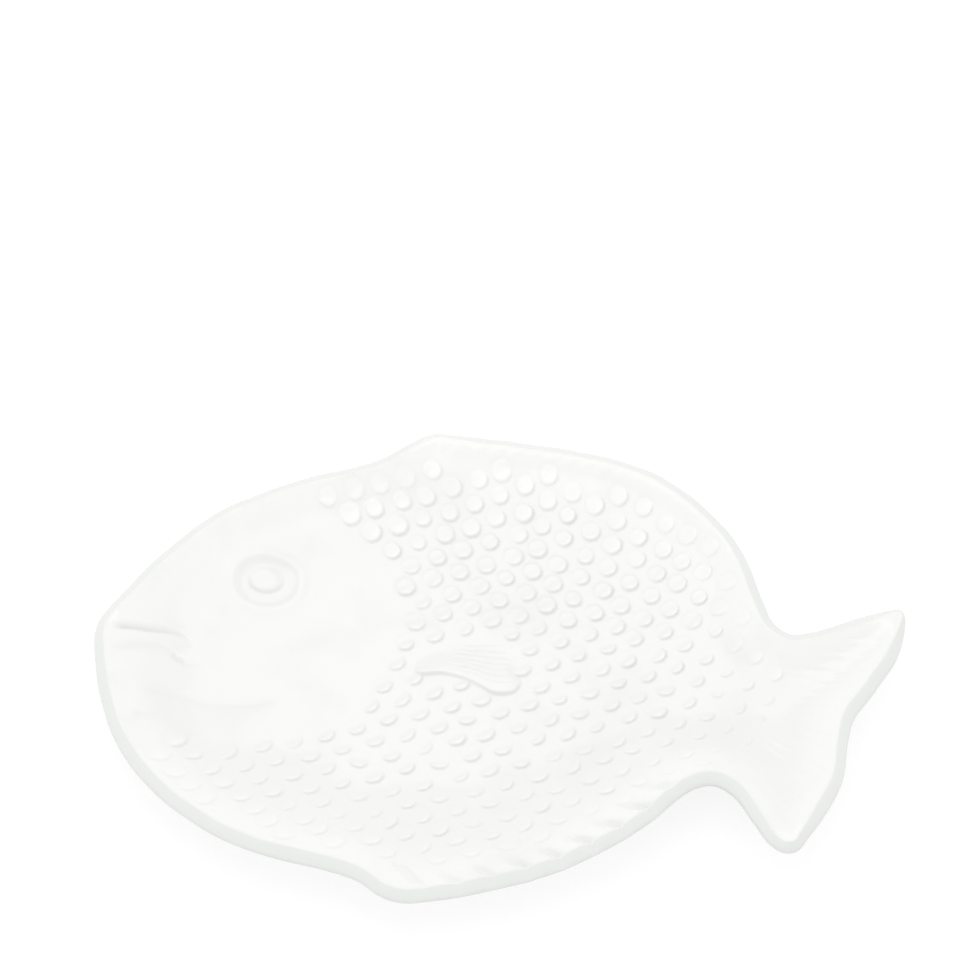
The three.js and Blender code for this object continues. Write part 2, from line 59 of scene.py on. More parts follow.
def on_dorsal(along, up):
    return along * BODY_LENGTH, BACK_HEIGHT + up * DORSAL_FIN_HEIGHT


def on_upper_tail(along, up):
    return BODY_LENGTH + along * TAIL_LENGTH, up * TAIL_RISE


def on_lower_tail(along, down):
    return BODY_LENGTH + along * TAIL_LENGTH, -down * TAIL_DROP


def on_anal(along, down):
    return along * BODY_LENGTH, -BELLY_DEPTH - down * ANAL_FIN_HEIGHT


def on_belly(along, down):
    return along * BODY_LENGTH, -down * BELLY_DEPTH


forehead = [(0, 0), on_back(0.024, 0.14), on_back(0.083, 0.41), on_back(0.155, 0.64), on_back(0.26, 0.83),
            on_back(0.385, 0.99)]
dorsal_fin = [on_dorsal(0.425, 0.5), on_dorsal(0.465, 0.97), on_dorsal(0.5, 0.97), on_dorsal(0.63, 0.93),
              on_dorsal(0.76, 0.7), on_dorsal(0.83, 0.3)]
rear_back = [on_back(0.895, 0.93), on_back(0.965, 0.71), on_back(1.003, 0.47)]
upper_waist = [on_upper_tail(0.1, 0.74), on_upper_tail(0.22, 0.64), on_upper_tail(0.34, 0.66)]
upper_lobe = [on_upper_tail(0.66, 0.86), on_upper_tail(0.89, 0.99), on_upper_tail(0.98, 0.97),
              on_upper_tail(0.995, 0.8)]
fork = [on_upper_tail(0.955, 0.5), on_upper_tail(0.83, 0.15), on_lower_tail(0.7, 0.1),
        on_lower_tail(0.665, 0.26), on_lower_tail(0.655, 0.47)]
lower_lobe = [on_lower_tail(0.59, 0.66), on_lower_tail(0.46, 0.88), on_lower_tail(0.385, 0.98),
              on_lower_tail(0.3, 1), on_lower_tail(0.2, 0.96)]
lower_waist = [on_lower_tail(0.08, 0.84), on_lower_tail(-0.06, 0.69), on_lower_tail(-0.2, 0.63),
               on_lower_tail(-0.33, 0.67)]
anal_fin = [on_belly(0.855, 0.67), on_belly(0.75, 0.88), on_anal(0.64, 0.12), on_anal(0.56, 0.82),
            on_anal(0.52, 1), on_anal(0.49, 0.82), on_anal(0.455, 0.25)]
belly = [on_belly(0.4, 0.99), on_belly(0.33, 0.965), on_belly(0.24, 0.9), on_belly(0.145, 0.755),
         on_belly(0.077, 0.58), on_belly(0.031, 0.36), on_belly(0.006, 0.15)]
landmarks = [forehead, dorsal_fin, rear_back, upper_waist, upper_lobe, fork, lower_lobe, lower_waist,
             anal_fin, belly]


def smooth_line(points, closed=False):
    """Points of a centripetal Catmull-Rom curve through the given ones."""
    points = np.asarray(points, float)
    if closed:
        padded = np.vstack([points[-1:], points, points[:2]])
    else:
        padded = np.vstack([2 * points[0] - points[1], points, 2 * points[-1] - points[-2]])
    knots = np.sqrt(np.linalg.norm(np.diff(padded, axis=0), axis=1))
    share = (np.arange(SPAN_STEPS) / SPAN_STEPS)[:, None]
    spans = []
    for i in range(1, len(padded) - 2):
        before, start, end, after = padded[i - 1:i + 3]
        k0, k1, k2 = knots[i - 1:i + 2]
        leave = k1 * ((start - before) / k0 - (end - before) / (k0 + k1) + (end - start) / k1)
        reach = k1 * ((end - start) / k1 - (after - start) / (k1 + k2) + (after - end) / k2)
        square = (3 * (end - start) - 2 * leave - reach) * share ** 2
        cube = (2 * (start - end) + leave + reach) * share ** 3
        spans.append(start + leave * share + square + cube)
    if not closed:
        spans.append(points[-1:])
    return np.vstack(spans)


def evenly(line, count):
    """A closed line as points at equal distances, with its whole length."""
    loop = np.vstack([line, line[:1]])
    travelled = np.concatenate([[0], np.cumsum(np.linalg.norm(np.diff(loop, axis=0), axis=1))])
    wanted = np.arange(count) / count * travelled[-1]
    x = np.interp(wanted, travelled, loop[:, 0])
    y = np.interp(wanted, travelled, loop[:, 1])
    return np.column_stack([x, y]), travelled[-1]


def directions(loop):
    """Unit tangents of a closed line of points."""
    run = np.roll(loop, -1, axis=0) - np.roll(loop, 1, axis=0)
    return run / np.linalg.norm(run, axis=1)[:, None]


outline = smooth_line(sum(landmarks, []), closed=True)
edge, edge_length = evenly(outline, EDGE_POINTS)
edge_run = directions(edge)
edge_inward = np.column_stack([edge_run[:, 1], -edge_run[:, 0]])
edge_step = edge_length / EDGE_POINTS


def place_of(group, index):
    """Distance along the edge from the lips to a landmark."""
    order = sum(len(other) for other in landmarks[:landmarks.index(group)]) + index
    walk = outline[:order * SPAN_STEPS + 1]
    return np.linalg.norm(np.diff(walk, axis=0), axis=1).sum()


def inside_point(place, inset):
    """Point at a place on the edge, moved inwards."""
    i = round(place / edge_step) % EDGE_POINTS
    return edge[i] + edge_inward[i] * inset


# Dish and lip
# The slab is a shallow dish: a flat floor that curves up to the rim at thirty degrees. The rim ends in a
# thick lip with a crest, whose outer face was cut on the slant and smoothed with a wet sponge.
WALL = 0.0065
RIM_RISE = 0.0135
RIM_SLOPE = math.radians(30)
LIP_FALL = math.radians(36)
LIP_CREST = 0.0014
LIP_UNDER = 0.0018
LIP_STEPS = 5
FOOT_HEIGHT = 0.0035
FENCE_POINTS = 640
CLOSING = 1.6
CLOSING_REACH = 9


def bend(start, end, radius):
    """Ways outwards and upwards along a round bend from one heading to another."""
    heading = np.linspace(start, end, LIP_STEPS + 1)
    return radius * (math.sin(start) - np.sin(heading)), radius * (np.cos(heading) - math.cos(start))


crest_out, crest_up = bend(RIM_SLOPE, -LIP_FALL, LIP_CREST)
under_out, under_up = bend(-LIP_FALL, RIM_SLOPE - math.pi, LIP_UNDER)
bends_out = crest_out[-1] + under_out[-1]
bends_up = crest_up[-1] + under_up[-1]
fall = WALL - bends_out * math.sin(RIM_SLOPE) + bends_up * math.cos(RIM_SLOPE)
fall /= math.sin(RIM_SLOPE + LIP_FALL)
lip_out = np.concatenate([crest_out, crest_out[-1] + fall * math.cos(LIP_FALL) + under_out])
lip_height = np.concatenate([crest_up, crest_up[-1] - fall * math.sin(LIP_FALL) + under_up])
lip_inset = lip_out.max() - lip_out
top_inset = lip_inset[0]
low_inset = lip_inset[-1]

fence, _ = evenly(outline, FENCE_POINTS)
fence_run = directions(fence)
fence_step = edge_length / FENCE_POINTS


def from_edge(x, y):
    """Smoothed distance from the edge, and the place on the edge that lies nearest."""
    total = np.zeros_like(x)
    nearest = np.full_like(x, np.inf)
    place = np.zeros_like(x)
    for i, ((post_x, post_y), (run_x, run_y)) in enumerate(zip(fence, fence_run)):
        square = (x - post_x) ** 2 + (y - post_y) ** 2
        total += square ** -2.0
        closer = square < nearest
        nearest[closer] = square[closer]
        along = (x[closer] - post_x) * run_x + (y[closer] - post_y) * run_y
        place[closer] = i * fence_step + along
    return np.cbrt(math.pi / (2 * total * fence_step)), place


rise_width = 2 * RIM_RISE / math.tan(RIM_SLOPE)
low_rise = RIM_RISE + WALL + lip_height[-1]
low_rise_width = 2 * low_rise / math.tan(RIM_SLOPE)


def dish_height(inset):
    share = np.clip(1 - (inset - top_inset) / rise_width, 0, 1)
    return FOOT_HEIGHT + WALL + RIM_RISE * share ** 2


def underside_height(inset):
    share = np.clip(1 - (inset - low_inset) / low_rise_width, 0, 1)
    return FOOT_HEIGHT + low_rise * share ** 2


# Rings of the lip, which close up where the outline turns tightly so that they never cross
turn_before = np.roll(edge_run, 1, axis=0)
turn_after = np.roll(edge_run, -1, axis=0)
bending = np.arctan2(turn_before[:, 1] * turn_after[:, 0] - turn_before[:, 0] * turn_after[:, 1],
                     (turn_before * turn_after).sum(axis=1)) / (2 * edge_step)
neighbours = range(-CLOSING_REACH, CLOSING_REACH + 1)
sharpest = np.max([np.roll(bending, shift) for shift in neighbours], axis=0)
closing = 1 / np.hypot(1, CLOSING * np.clip(sharpest, 0, None) * top_inset)
closing = np.mean([np.roll(closing, shift) for shift in neighbours], axis=0)
lip_rings = [edge + edge_inward * (inset * closing)[:, None] for inset in lip_inset]

# Pectoral fin
# A small fan lies behind the cheek, among the scales. Its rays are pressed grooves, and its lower edge
# stands proud of the body in a step that bends twice and ends in a round lobe.
PECTORAL_LOWER = [(0.1186, 0.0002), (0.1213, -0.0014), (0.1288, -0.0005), (0.1338, -0.0008),
                  (0.1408, -0.0025), (0.1458, -0.0048), (0.1498, -0.0066), (0.1544, -0.0064),
                  (0.158, -0.0045), (0.1595, -0.0008)]
PECTORAL_UPPER = [(0.1186, 0.005), (0.125, 0.01), (0.1318, 0.0137), (0.143, 0.0165), (0.153, 0.0187),
                  (0.1595, 0.0195)]
PECTORAL_STANDS = [(0.1186, 0.0003), (0.123, 0.0012), (0.133, 0.0009), (0.144, 0.0009), (0.152, 0.0014),
                   (0.1595, 0.0008)]
PECTORAL_REAR_LEAN = 0.4
PECTORAL_STEP = 0.001
PECTORAL_STEP_FOOT = -0.0003
PECTORAL_FRONT_FADE = 0.003
PECTORAL_UPPER_FADE = 0.004
PECTORAL_REAR_START = -0.0005
PECTORAL_REAR_FADE = 0.0015
PECTORAL_REAR_FANNING = 0.009
PECTORAL_SHOULDER = 0.9
PECTORAL_RAYS = 9.5
PECTORAL_RAY_CROWDING = 0.85
PECTORAL_RAY_RELIEF = 0.00024
PECTORAL_RAY_ROOTS = (0.15, 0.5)
PECTORAL_LOWEST_RAY = (0.1, 0.3)
# Painted shade under the fin's lower edge
PECTORAL_SHADE_PLACE = -0.0002
PECTORAL_SHADE_WIDTH = 0.0005
PECTORAL_CLEARANCE = 0.0015


def ease(value, start, end):
    """Smooth step from 0 at start to 1 at end."""
    share = np.clip((value - start) / (end - start), 0, 1)
    return share * share * (3 - 2 * share)


def height_on(line, x):
    """Second coordinate of a curve that runs along x."""
    points = smooth_line(line)
    return np.interp(x, points[:, 0], points[:, 1])


def on_pectoral(x, y):
    """Distances into the fin from its lower edge, its upper edge and its front and rear ends."""
    rear = PECTORAL_LOWER[-1][0] - PECTORAL_REAR_LEAN * (y - PECTORAL_LOWER[-1][1])
    return (y - height_on(PECTORAL_LOWER, x), height_on(PECTORAL_UPPER, x) - y,
            x - PECTORAL_LOWER[0][0], rear - x)


def pectoral_relief(x, y):
    """Height of the fin, how far it covers the body, and the painted shade under its lower edge."""
    above_lower, below_upper, behind_front, before_rear = on_pectoral(x, y)
    across = np.clip(above_lower / np.maximum(above_lower + below_upper, PECTORAL_STEP), 0, 1)
    cover = ease(above_lower, PECTORAL_STEP_FOOT, PECTORAL_STEP_FOOT + PECTORAL_STEP)
    cover *= ease(before_rear, PECTORAL_REAR_START, PECTORAL_REAR_FADE + PECTORAL_REAR_FANNING * across)
    cover *= ease(behind_front, 0, PECTORAL_FRONT_FADE) * ease(below_upper, 0, PECTORAL_UPPER_FADE)
    along = np.clip(behind_front / (PECTORAL_LOWER[-1][0] - PECTORAL_LOWER[0][0]), 0, 1)
    ridge = np.cos(2 * math.pi * PECTORAL_RAYS * across ** PECTORAL_RAY_CROWDING)
    ridge *= ease(along, *PECTORAL_RAY_ROOTS) * ease(across, *PECTORAL_LOWEST_RAY)
    stands = height_on(PECTORAL_STANDS, x)
    body = stands * (1 - ease(across, 0, PECTORAL_SHOULDER))
    foot_shade = np.exp(-((above_lower - PECTORAL_SHADE_PLACE) / PECTORAL_SHADE_WIDTH) ** 2)
    foot_shade *= stands / SCALE_HEIGHT
    foot_shade *= ease(behind_front, 0, PECTORAL_STEP) * ease(before_rear, -PECTORAL_STEP, PECTORAL_STEP)
    return cover * (body + PECTORAL_RAY_RELIEF * ridge), cover, foot_shade


# Scales
# Rows of round scales behind the cheek, cut into the mould by hand, so that no two are quite alike. Each
# rises gently from its front, which stands free only on the back, and drops steeply at its rear edge.
COLUMN_PITCH = 0.00917
ROW_PITCH = 0.0096
FIRST_COLUMN = 0.0045
FIRST_ROW = 0.0018
ROW_FALL = 0.038
BOW_RADIUS = 0.26
BOW_HEIGHT = 0.0868
SCALE_HEIGHT = 0.00105
SCALE_LENGTH = 0.0078
SCALE_WIDTH = 0.0074
SCALE_EDGE = 0.16
SCALE_FRONT = 0.25
SCALE_RISE = (-0.15, 0.95)
SCALE_DOME = 0.2
SCALE_TURN = math.radians(-50)
BELLY_TURN = math.radians(-11)
SCALE_MARGIN = 0.0093
DORSAL_BAND = 0.0089
ANAL_BAND = 0.012
FIN_CLEARANCE = 0.003
CHEEK_CENTRE = (0.0445, 0.0152)
CHEEK_LENGTH = 0.1315
CHEEK_HEIGHT = 0.1156
TAIL_ROOT_BOW = 0.009
TAIL_CLEARANCE = 0.003
TAIL_FADE = 0.055
EDGE_FADE = 0.012
PLACE_SPREAD = 0.0004
SIZE_SPREAD = 0.06
TURN_SPREAD = 0.2
HEIGHT_SPREAD = 0.14
BELLY_FLATTENING = 0.44
BELLY_WIDENING = 0.1
TAIL_SHRINKING = 0.24
TAIL_FLATTENING = 0.7
EDGE_FLATTENING = 0.5
BACK_LEVEL = 0.05
BELLY_LEVEL = -0.08
HAND_SEED = 12
# Painted shade at the foot of each scale: on its rear side, and faintly in a ring round it between the
# scales
SCALE_SHADE_WIDTH = 0.075
SCALE_SHADE_SIDES = (0.3, 0.9)
RING_SHADE = 0.15
RING_SHADE_PLACE = 1.1
RING_SHADE_WIDTH = 0.25


def inside_edge(x, y):
    """True for points within the outline."""
    inner = np.zeros(x.shape, bool)
    for (start_x, start_y), (end_x, end_y) in zip(fence, np.roll(fence, -1, axis=0)):
        if start_y != end_y:
            crossing = start_x + (y - start_y) * (end_x - start_x) / (end_y - start_y)
            inner ^= ((start_y > y) != (end_y > y)) & (crossing > x)
    return inner


def column_bow(level):
    """How far a column bends forwards at a level, the height where its row starts at the lips."""
    return (level - BOW_HEIGHT) ** 2 / (2 * BOW_RADIUS)


lowest = edge.min(axis=0)
highest = edge.max(axis=0)
first_row = math.floor(lowest[1] / ROW_PITCH)
row_count = math.ceil((highest[1] + ROW_FALL * highest[0]) / ROW_PITCH) - first_row + 1
column_count = math.ceil((highest[0] - FIRST_COLUMN + column_bow(lowest[1])) / COLUMN_PITCH) + 1
column, row = np.meshgrid(np.arange(column_count), np.arange(row_count), indexing="ij")
scale_level = FIRST_ROW + (first_row + row + (column % 2) / 2) * ROW_PITCH
scale_x = FIRST_COLUMN + column * COLUMN_PITCH - column_bow(scale_level)
scale_y = scale_level - ROW_FALL * scale_x

# Bare margins: along the lip, wider beside the two fins, round the cheek and in front of the tail
scale_inset, _ = from_edge(scale_x, scale_y)
back = scale_y > 0
band_front = np.where(back, forehead[5][0], anal_fin[6][0])
band_peak = np.where(back, dorsal_fin[2][0], anal_fin[4][0])
band_rear = np.where(back, dorsal_fin[5][0], anal_fin[1][0])
band_end = np.where(back, rear_back[0][0], anal_fin[0][0])
band_share = ease(scale_x, band_front, band_peak) * (1 - ease(scale_x, band_rear, band_end))
beside_fin = FIN_CLEARANCE + np.where(back, DORSAL_BAND, ANAL_BAND)
margin = SCALE_MARGIN + band_share * (beside_fin - SCALE_MARGIN)
off_cheek = np.hypot((scale_x - CHEEK_CENTRE[0]) * 2 / CHEEK_LENGTH,
                     (scale_y - CHEEK_CENTRE[1]) * 2 / CHEEK_HEIGHT)
root_upper = inside_point(place_of(upper_waist, 1), top_inset)
root_lower = inside_point(place_of(lower_waist, 2), top_inset)


def tail_root(y):
    """Where the tail starts, at a height on the body."""
    share = np.clip((root_upper[1] - y) / (root_upper[1] - root_lower[1]), 0, 1)
    straight = root_upper[0] + (root_lower[0] - root_upper[0]) * share
    return straight + TAIL_ROOT_BOW * 4 * share * (1 - share)


below_fin, *beside_it = on_pectoral(scale_x, scale_y)
off_pectoral = (below_fin < 0) | (np.min(beside_it, axis=0) < -PECTORAL_CLEARANCE)
before_tail = tail_root(scale_y) - scale_x
carries = inside_edge(scale_x, scale_y) & (scale_inset > margin) & (off_cheek > 1) & off_pectoral
carries &= before_tail > TAIL_CLEARANCE

# What the hand varied from scale to scale
hand = np.random.default_rng(HAND_SEED)
scale_x = scale_x + hand.normal(0, PLACE_SPREAD, column.shape)
scale_y = scale_y + hand.normal(0, PLACE_SPREAD, column.shape)
scale_size = 1 + hand.normal(0, SIZE_SPREAD, column.shape)
scale_size *= 1 - TAIL_SHRINKING * ease(before_tail, TAIL_FADE, 0)
on_belly_side = ease(scale_y, BACK_LEVEL, BELLY_LEVEL)
on_back_side = ease(scale_y, 0, BACK_LEVEL)
scale_length = SCALE_LENGTH * scale_size * (1 - BELLY_WIDENING * on_belly_side)
scale_width = SCALE_WIDTH * scale_size * (1 + BELLY_WIDENING * on_belly_side)
scale_turn = SCALE_TURN + BELLY_TURN * on_belly_side + hand.normal(0, TURN_SPREAD, column.shape)
scale_stands = SCALE_HEIGHT * (1 + hand.normal(0, HEIGHT_SPREAD, column.shape)) * carries
scale_stands *= 1 - BELLY_FLATTENING * on_belly_side
scale_stands *= 1 - TAIL_FLATTENING * ease(before_tail, TAIL_FADE, 0)
scale_stands *= 1 - EDGE_FLATTENING * ease(scale_inset - margin, EDGE_FADE, 0)
scale_front = SCALE_FRONT * on_back_side


def on_scales(x, y):
    """Height of the scales at each point, and the painted shade at a scale's rear foot and faintly all
    round it.
    """
    level = y + ROW_FALL * x
    middle = np.round((x + column_bow(level) - FIRST_COLUMN) / COLUMN_PITCH).astype(int)
    tallest = np.zeros_like(x)
    foot_shade = np.zeros_like(x)
    for side in (-1, 0, 1):
        c = np.clip(middle + side, 0, column_count - 1)
        nearest = np.round((level - FIRST_ROW) / ROW_PITCH - (c % 2) / 2).astype(int) - first_row
        for step in (-1, 0, 1):
            r = np.clip(nearest + step, 0, row_count - 1)
            dx = x - scale_x[c, r]
            dy = y - scale_y[c, r]
            cosine = np.cos(scale_turn[c, r])
            sine = np.sin(scale_turn[c, r])
            along = (dx * cosine + dy * sine) * 2 / scale_length[c, r]
            across = (dy * cosine - dx * sine) * 2 / scale_width[c, r]
            reach = np.hypot(along, across)
            rise = scale_front[c, r] + (1 - scale_front[c, r]) * ease(along, *SCALE_RISE)
            drop = ease(reach, 1, 1 - SCALE_EDGE) * (1 - SCALE_DOME * np.minimum(reach, 1) ** 2)
            tallest = np.maximum(tallest, scale_stands[c, r] * rise * drop)
            shade_at_foot = np.exp(-((reach - 1) / SCALE_SHADE_WIDTH) ** 2) * ease(along, *SCALE_SHADE_SIDES)
            shade_at_foot += RING_SHADE * np.exp(-((reach - RING_SHADE_PLACE) / RING_SHADE_WIDTH) ** 2)
            foot_shade = np.maximum(foot_shade, shade_at_foot * scale_stands[c, r] / SCALE_HEIGHT)
    return tallest, foot_shade


# Head
# The cheek is smooth. An almond-shaped eye with a raised lid, a mouth between rolled lips and two creases
# of the jaw are modelled into it.
EYE_CENTRE = (0.0588, 0.0296)
EYE_LENGTH = 0.0255
EYE_HEIGHT = 0.0215
EYE_TILT = math.radians(6)
EYE_CORNER = 0.1
EYE_CORNER_PLACE = math.radians(33)
EYE_CORNER_SPREAD = math.radians(20)
LID_RELIEF = 0.0007
LID_WIDTH = 0.13
LID_OUTER_WIDTH = 0.26
SOCKET_DEPTH = 0.0003
SOCKET_FLOOR = 0.7
PUPIL_CENTRE = (0.0583, 0.0306)
PUPIL_LENGTH = 0.013
PUPIL_HEIGHT = 0.0102
PUPIL_RELIEF = 0.0012
PUPIL_FLATNESS = 6
PUPIL_SLANT = 0.3
# Painted shade under the pupil's lower edge
PUPIL_SHADE_WIDTH = 0.1
PUPIL_SHADE_SIDES = (0.2, -0.8)
MOUTH_LINE = [(0.006, -0.0028), (0.009, -0.0009), (0.0143, 0.0005), (0.0197, 0.0012), (0.0251, 0.002),
              (0.0287, 0.002), (0.0323, 0.0008), (0.0342, -0.0012)]
MOUTH_DEPTH = 0.0015
MOUTH_WIDTH = 0.0009
MOUTH_UPPER_SIDE = 0.7
MOUTH_LOWER_SIDE = 1.5
MOUTH_OPENS = 0.15
MOUTH_SHALLOWS = 0.35
MOUTH_SHALLOWING = 0.7
UPPER_LIP_RELIEF = 0.0005
UPPER_LIP_PLACE = 0.00234
UPPER_LIP_WIDTH = 0.00162
UPPER_LIP_FADE = 0.6
LOWER_LIP_LINE = [(0.0056, -0.0119), (0.0112, -0.0091), (0.0176, -0.0068), (0.0211, -0.0066),
                  (0.0274, -0.0068), (0.0318, -0.0085), (0.0347, -0.0088), (0.0416, -0.008)]
LOWER_LIP_DEPTH = 0.0005
LOWER_LIP_WIDTH = 0.0016
LIP_CORNER_LINE = [(0.0285, -0.0069), (0.0318, -0.0085), (0.0345, -0.0088)]
LIP_CORNER_DEPTH = 0.0006
LIP_CORNER_WIDTH = 0.0008
LIP_ROLL_LINE = [(0.0075, -0.0068), (0.0135, -0.0042), (0.0205, -0.0026), (0.0275, -0.0026),
                 (0.0325, -0.0045)]
LIP_ROLL_RELIEF = 0.0006
LIP_ROLL_WIDTH = 0.0027
JAW_LINE = [(0.0181, -0.0245), (0.023, -0.0251), (0.0298, -0.0247), (0.0387, -0.0237), (0.0452, -0.0246),
            (0.054, -0.0234), (0.065, -0.0205), (0.0725, -0.016)]
CHIN_LINE = [(0.0185, -0.0376), (0.0225, -0.0368), (0.029, -0.0349), (0.036, -0.0342)]
CREASE_DEPTH = 0.00042
CREASE_WIDTH = 0.0018
CREASE_ENDS = (0.15, 0.8)


def near_line(points, x, y):
    """Distance from a smooth line and share of its length at the nearest point."""
    line = smooth_line(points)
    travelled = np.concatenate([[0], np.cumsum(np.linalg.norm(np.diff(line, axis=0), axis=1))])
    nearest = np.full_like(x, np.inf)
    share = np.zeros_like(x)
    for (post_x, post_y), walked in zip(line, travelled / travelled[-1]):
        square = (x - post_x) ** 2 + (y - post_y) ** 2
        closer = square < nearest
        nearest[closer] = square[closer]
        share[closer] = walked
    return np.sqrt(nearest), share


def crease(points, width, x, y):
    """Bell-shaped mark along a line, that dies away at both ends."""
    distance, share = near_line(points, x, y)
    ends = ease(share, 0, CREASE_ENDS[0]) * ease(share, 1, CREASE_ENDS[1])
    return np.exp(-(distance / width) ** 2) * ends


def on_ellipse(x, y, centre, length, height):
    """Distance from the middle of a tilted ellipse, with 1 on its line, and the angle."""
    dx = x - centre[0]
    dy = y - centre[1]
    along = (dx * math.cos(EYE_TILT) + dy * math.sin(EYE_TILT)) * 2 / length
    across = (dy * math.cos(EYE_TILT) - dx * math.sin(EYE_TILT)) * 2 / height
    return np.hypot(along, across), np.arctan2(across, along)


def on_pupil(x, y):
    """Height of the pupil, whose lower edge stands proud, and the painted shade under that edge."""
    reach, angle = on_ellipse(x, y, PUPIL_CENTRE, PUPIL_LENGTH, PUPIL_HEIGHT)
    upper_side = np.minimum(reach, 1) * np.sin(angle)
    height = PUPIL_RELIEF * np.clip(1 - reach ** PUPIL_FLATNESS, 0, 1)
    height *= 1 - PUPIL_SLANT * (1 + upper_side)
    return height, np.exp(-((reach - 1) / PUPIL_SHADE_WIDTH) ** 2) * ease(upper_side, *PUPIL_SHADE_SIDES)


def eye_relief(x, y):
    reach, angle = on_ellipse(x, y, EYE_CENTRE, EYE_LENGTH, EYE_HEIGHT)
    reach = reach / (1 + EYE_CORNER * np.exp(-((angle - EYE_CORNER_PLACE) / EYE_CORNER_SPREAD) ** 2))
    lid_width = np.where(reach > 1, LID_OUTER_WIDTH, LID_WIDTH)
    lid = LID_RELIEF * np.exp(-((reach - 1) / lid_width) ** 2)
    socket = SOCKET_DEPTH * ease(reach, 1, SOCKET_FLOOR)
    pupil, _ = on_pupil(x, y)
    return lid - socket + pupil


def mouth_relief(x, y):
    distance, share = near_line(MOUTH_LINE, x, y)
    above = y > height_on(MOUTH_LINE, x)
    opening = ease(share, 0, MOUTH_OPENS) * (1 - MOUTH_SHALLOWING * ease(share, MOUTH_SHALLOWS, 1))
    width = MOUTH_WIDTH * np.where(above, MOUTH_UPPER_SIDE, MOUTH_LOWER_SIDE)
    groove = opening * np.exp(-(distance / width) ** 2)
    upper_lip = np.exp(-((distance - UPPER_LIP_PLACE) / UPPER_LIP_WIDTH) ** 2) * above
    upper_lip *= ease(share, 1, UPPER_LIP_FADE)
    upper_lip *= ease(x, MOUTH_LINE[0][0] - MOUTH_WIDTH, MOUTH_LINE[1][0])
    roll = crease(LIP_ROLL_LINE, LIP_ROLL_WIDTH, x, y)
    under = crease(LOWER_LIP_LINE, LOWER_LIP_WIDTH, x, y)
    corner = crease(LIP_CORNER_LINE, LIP_CORNER_WIDTH, x, y)
    return (LIP_ROLL_RELIEF * roll + UPPER_LIP_RELIEF * upper_lip - MOUTH_DEPTH * groove
            - LOWER_LIP_DEPTH * under - LIP_CORNER_DEPTH * corner)


def head_relief(x, y):
    jaw = crease(JAW_LINE, CREASE_WIDTH, x, y) + crease(CHIN_LINE, CREASE_WIDTH, x, y)
    return eye_relief(x, y) + mouth_relief(x, y) - CREASE_DEPTH * jaw


# Fins and tail
# The back fin and the tail are marked by worn rays. The belly fin has broad slanted lobes, and the
# grooves between them run out over the lip and scallop it.
DORSAL_RAY_PITCH = 0.0072
DORSAL_RAY_RELIEF = 0.00012
DORSAL_SWELL = 0.0003
DORSAL_ENDS = 0.03
DORSAL_BAND_FADE = (1.3, 0.8)
DORSAL_RIM_FADE = (0.8, 1.3)
ANAL_RAY_PITCH = 0.01305
ANAL_FIRST_GROOVE = 0.0054
ANAL_GROOVE_DEPTH = 0.0024
ANAL_GROOVE_REACH = 0.0162
ANAL_GROOVE_HOLLOW = 1.5
ANAL_GROOVE_NARROWNESS = 3
ANAL_ENDS = 0.012
ANAL_DEEPEST = 0.05
ANAL_FADE_PAST_SPUR = 0.03
RAY_LEAN = 0.85
SPUR_GROOVES = [[(0.1225, -0.0845), (0.1288, -0.0905), (0.1325, -0.0945)],
                [(0.1252, -0.0845), (0.1312, -0.0902), (0.135, -0.094)]]
SPUR_DEPTH = 0.0007
SPUR_WIDTH = 0.0009
TAIL_APEX = (0.211, 0.011)
TAIL_RAY_TURN = math.radians(3.6)
TAIL_RAY_RELIEF = 0.00011
TAIL_RAY_ROOTS = (-0.003, 0.012)
TAIL_FINE_SHARE = 0.4
TAIL_FINE_COUNT = 1.73
TAIL_FINE_TWIST = 9
TAIL_RIM_FADE = (0.5, 1.8)


def fin_share(place, start, end, soften):
    """1 along a stretch of the edge, easing to 0 at both ends."""
    return ease(place, start, start + soften) * ease(place, end, end - soften)


def fin_relief(x, y, inset, place):
    dorsal = fin_share(place, place_of(dorsal_fin, 0), place_of(rear_back, 1), DORSAL_ENDS)
    dorsal *= ease(inset / DORSAL_BAND, *DORSAL_BAND_FADE) * ease(inset / top_inset, *DORSAL_RIM_FADE)
    wave = np.cos(2 * math.pi * (place - RAY_LEAN * (DORSAL_BAND - inset)) / DORSAL_RAY_PITCH)
    raised = dorsal * (DORSAL_SWELL + DORSAL_RAY_RELIEF * (wave - 1) / 2)
    rear = place_of(lower_waist, 3)
    spur = place_of(anal_fin, 4)
    anal = fin_share(place, rear, spur, ANAL_ENDS)
    anal *= ease(place, spur + ANAL_FADE_PAST_SPUR, rear + ANAL_DEEPEST)
    anal *= ease(inset, ANAL_GROOVE_REACH, top_inset) ** ANAL_GROOVE_HOLLOW
    from_groove = place - rear - ANAL_FIRST_GROOVE + RAY_LEAN * (top_inset - inset)
    in_groove = 0.5 + 0.5 * np.cos(2 * math.pi * from_groove / ANAL_RAY_PITCH)
    raised -= anal * ANAL_GROOVE_DEPTH * in_groove ** ANAL_GROOVE_NARROWNESS
    for groove in SPUR_GROOVES:
        raised -= SPUR_DEPTH * crease(groove, SPUR_WIDTH, x, y)
    return raised


def tail_relief(x, y, inset):
    dx = x - TAIL_APEX[0]
    dy = y - TAIL_APEX[1]
    turn = np.arctan2(dy, dx) / TAIL_RAY_TURN
    reach = np.hypot(dx, dy)
    wave = (1 - TAIL_FINE_SHARE) * np.cos(2 * math.pi * turn)
    wave += TAIL_FINE_SHARE * np.cos(2 * math.pi * (TAIL_FINE_COUNT * turn + TAIL_FINE_TWIST * reach))
    behind = ease(x - tail_root(y), *TAIL_RAY_ROOTS)
    return TAIL_RAY_RELIEF * wave * behind * ease(inset / top_inset, *TAIL_RIM_FADE)


